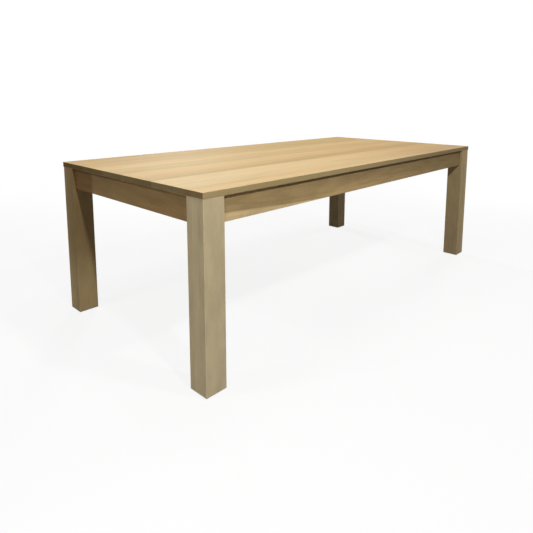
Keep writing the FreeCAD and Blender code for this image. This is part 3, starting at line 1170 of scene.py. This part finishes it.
    def _glide(self, shank: Shank) -> bmesh.types.BMesh:
        """Make a round pad with a rounded rim and a recess for its nail.

        Args:
            shank: The measured pad.

        Returns:
            The new mesh.
        """
        outer, bore, edge = shank.head_radius, shank.shank_radius, self.glide_edge
        rim = self.glide_rim_share * edge
        return revolve((
            (bore, self.glide_recess_depth),
            (self.glide_recess_radius, self.glide_recess_depth),
            (self.glide_recess_radius, 0.0),
            (outer - edge, 0.0),
            (outer - rim, rim),
            (outer, edge),
            (outer, shank.length),
            (bore, shank.length),
        ), self.glide_sides, closed=True)


@dataclass(frozen=True)
class PhotoCamera:
    """The photograph's camera. Lengths are metres, angles degrees, and pixels belong to a square frame."""

    place: Triple = (-2.1044, -1.8155, 1.0763)
    heading: float = 47.423
    dip: float = 7.934
    roll: float = 0.329
    focal_px: float = 470.65
    centre_px: Pair = (284.3, 164.8)
    frame_px: float = 533.0
    sensor_mm: float = 36.0

    def build(self) -> None:
        """Make the camera and set it as the scene's own."""
        heading, dip, roll = (math.radians(angle) for angle in (self.heading, self.dip, self.roll))
        ahead = Vector((math.sin(heading) * math.cos(dip), math.cos(heading) * math.cos(dip), -math.sin(dip)))
        level = Vector((math.cos(heading), -math.sin(heading), 0.0))
        above = level.cross(ahead)
        right = level * math.cos(roll) + above * math.sin(roll)
        up = above * math.cos(roll) - level * math.sin(roll)
        data = bpy.data.cameras.new("photo_camera")
        data.sensor_width = self.sensor_mm
        data.lens = self.focal_px * self.sensor_mm / self.frame_px
        middle = 0.5
        data.shift_x = middle - self.centre_px[0] / self.frame_px
        data.shift_y = self.centre_px[1] / self.frame_px - middle
        camera = bpy.data.objects.new("photo_camera", data)
        turn = Matrix((right, up, -ahead)).transposed().to_4x4()
        camera.matrix_world = Matrix.Translation(self.place) @ turn
        bpy.context.scene.collection.objects.link(camera)
        bpy.context.scene.camera = camera


@dataclass(frozen=True)
class Lamp:
    """One soft area lamp. Lengths are metres."""

    name: str
    place: Triple
    target: Triple
    size: float
    watts: float

    def build(self) -> None:
        """Make the lamp and aim it."""
        data = bpy.data.lights.new(self.name, "AREA")
        data.shape = "DISK"
        data.size = self.size
        data.energy = self.watts
        lamp = bpy.data.objects.new(self.name, data)
        lamp.location = self.place
        lamp.rotation_euler = (Vector(self.target) - Vector(self.place)).to_track_quat("-Z", "Y").to_euler()
        lamp.visible_camera = False
        bpy.context.scene.collection.objects.link(lamp)


@dataclass
class Studio:
    """A pale floor, a white backdrop and soft lamps. Lengths are metres."""

    floor_half: float = 40.0
    floor_gap: float = 0.0005
    floor_bounce: float = 0.12
    floor_near: float = 1.8
    floor_far: float = 4.5
    floor_white: float = 0.86
    sky_grey: float = 0.07
    lamps: Sequence[Lamp] = (
        Lamp("front_lamp", (0.4, -4.0, 4.8), (-0.2, -0.4, 0.5), 0.4, 77.0),
        Lamp("near_lamp", (-1.44, -2.2, 2.5), (-0.7, -0.3, 0.5), 0.16, 29.0),
        Lamp("low_lamp", (-2.2, -1.3, 0.5), (-1.1, -0.4, 0.4), 0.3, 3.9),
        Lamp("left_lamp", (-3.0, 0.5, 2.6), (-0.6, 0.0, 0.6), 0.3, 15.5),
        Lamp("high_lamp", (-0.4, -0.1, 3.2), (-0.2, -0.1, 0.7), 0.8, 13.2),
        Lamp("back_lamp", (1.6, 3.6, 2.6), (0.0, 0.3, 0.5), 0.8, 45.0),
        Lamp("low_back_lamp", (1.3, 3.8, 0.5), (0.0, 0.4, 0.5), 0.4, 42.0),
        Lamp("right_lamp", (4.4, -0.2, 2.6), (0.6, 0.0, 0.5), 0.8, 30.0),
        Lamp("low_right_lamp", (4.4, 0.2, 0.5), (1.0, 0.0, 0.5), 0.5, 24.0),
    )

    def build(self) -> None:
        """Make the floor, the sky and the lamps."""
        self._floor()
        self._sky()
        for lamp in self.lamps:
            lamp.build()

    def _floor(self) -> None:
        """Make a plain floor that is near white to the eye and keeps the table's shadow."""
        data = bpy.data.meshes.new("floor")
        mesh = bmesh.new()
        under_feet = Matrix.Translation((0.0, 0.0, -self.floor_gap))
        bmesh.ops.create_grid(mesh, x_segments=1, y_segments=1, size=self.floor_half, matrix=under_feet)
        mesh.to_mesh(data)
        mesh.free()
        floor = bpy.data.objects.new("floor", data)
        bpy.context.scene.collection.objects.link(floor)
        tree = new_tree("floor_paint")
        away = tree.length(tree.add("TexCoord").outputs["Object"])
        share = tree.remap(away, self.floor_near, self.floor_far, self.floor_white, 1.0)
        paint = tree.add("BsdfDiffuse", {"Color": (*WHITE, 1.0)})
        glow = tree.add("Emission", {"Color": (*WHITE, 1.0), "Strength": 1.0})
        look = tree.add("MixShader", {0: share, 1: paint.outputs[0], 2: glow.outputs[0]})
        bounce = tree.add("BsdfDiffuse", {"Color": (*(self.floor_bounce,) * 3, 1.0)})
        both = tree.add("MixShader", {0: tree.seen(), 1: bounce.outputs[0], 2: look.outputs[0]})
        tree.add("OutputMaterial", {"Surface": both.outputs[0]})
        data.materials.append(tree.block)

    def _sky(self) -> None:
        """Make an even grey sky that is seen as white."""
        world = bpy.data.worlds.new("studio_sky")
        bpy.context.scene.world = world
        tree = NodeTree(world)
        grey = tree.add("Background", {"Color": (*WHITE, 1.0), "Strength": self.sky_grey})
        white = tree.add("Background", {"Color": (*WHITE, 1.0), "Strength": 1.0})
        both = tree.add("MixShader", {0: tree.seen(), 1: grey.outputs[0], 2: white.outputs[0]})
        tree.add("OutputWorld", {"Surface": both.outputs[0]})


def main() -> None:
    """Load the frame, dress every piece, and add the camera and the studio."""
    logging.basicConfig(level=logging.INFO, format="%(name)s: %(message)s")
    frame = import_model()
    nodes = frame["nodes"]
    for assembly in (Top(nodes), Legs(nodes), Aprons(nodes), Underframe(nodes), Hardware(nodes)):
        assembly.build()
    PhotoCamera().build()
    Studio().build()
    bpy.context.scene.view_settings.view_transform = "Standard"


if __name__ == "__main__":
    main()
